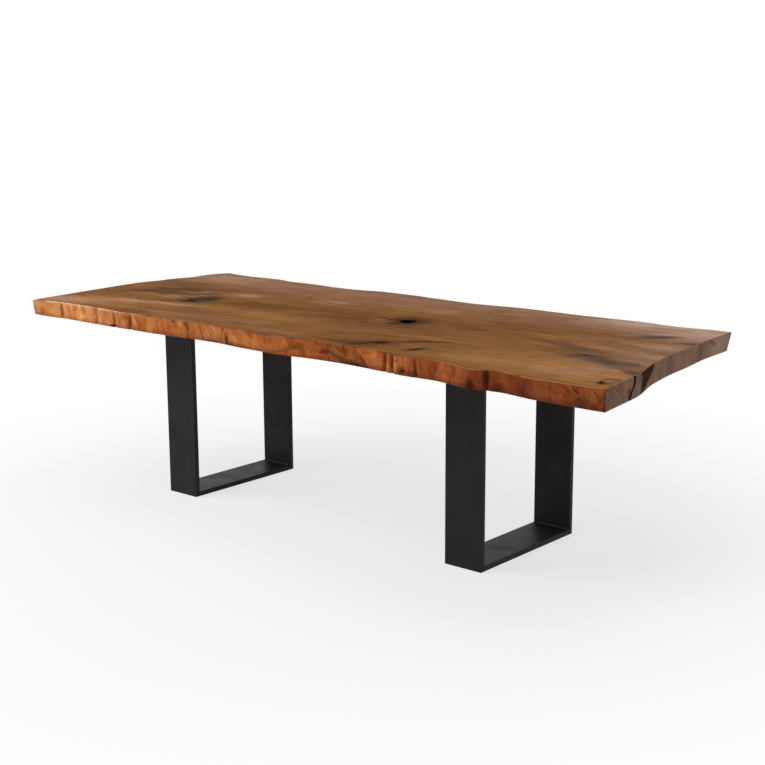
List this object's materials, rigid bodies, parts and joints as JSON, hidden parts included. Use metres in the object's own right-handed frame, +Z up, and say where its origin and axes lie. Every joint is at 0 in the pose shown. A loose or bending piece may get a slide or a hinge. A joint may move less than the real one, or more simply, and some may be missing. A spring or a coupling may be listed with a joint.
{
  "type": "live edge dining table",
  "caption": "Long dining table: a thick live edge wood slab with natural long sides and dark knots, screwed to rectangular loop legs of wide flat black steel bar.",
  "frame": {"origin": "on the floor, under the middle of the slab's bounding rectangle", "axes": "+X along the slab towards the end with the drying crack, +Y across the slab towards the far long side, +Z up"},
  "size_m": [2.7492, 1.1212, 0.75],
  "materials": {
    "slab_wood": "satin oiled walnut-brown hardwood with streaked grain and golden brown live edges",
    "knot_resin": "dark clear-cast resin, slightly glossy",
    "black_steel": "matt black, faintly mottled",
    "weld_metal": "matt black over a rippled bead",
    "fastener_steel": "black oxide",
    "insert_brass": "turned",
    "pad_felt": "pressed felt"
  },
  "bodies": {
    "root": {"live_edge_slab": "slab_wood", "knot_fill_left": "knot_resin", "knot_fill_centre": "knot_resin", "knot_fill_corner": "knot_resin", "left_near_upright": "black_steel", "left_far_upright": "black_steel", "left_foot_bar": "black_steel", "left_top_bar": "black_steel", "left_corner_welds": "weld_metal", "left_screws": "fastener_steel", "left_washers": "fastener_steel", "left_threaded_inserts": "insert_brass", "left_floor_pads": "pad_felt", "right_near_upright": "black_steel", "right_far_upright": "black_steel", "right_foot_bar": "black_steel", "right_top_bar": "black_steel", "right_corner_welds": "weld_metal", "right_screws": "fastener_steel", "right_washers": "fastener_steel", "right_threaded_inserts": "insert_brass", "right_floor_pads": "pad_felt"}
  },
  "joints": []
}
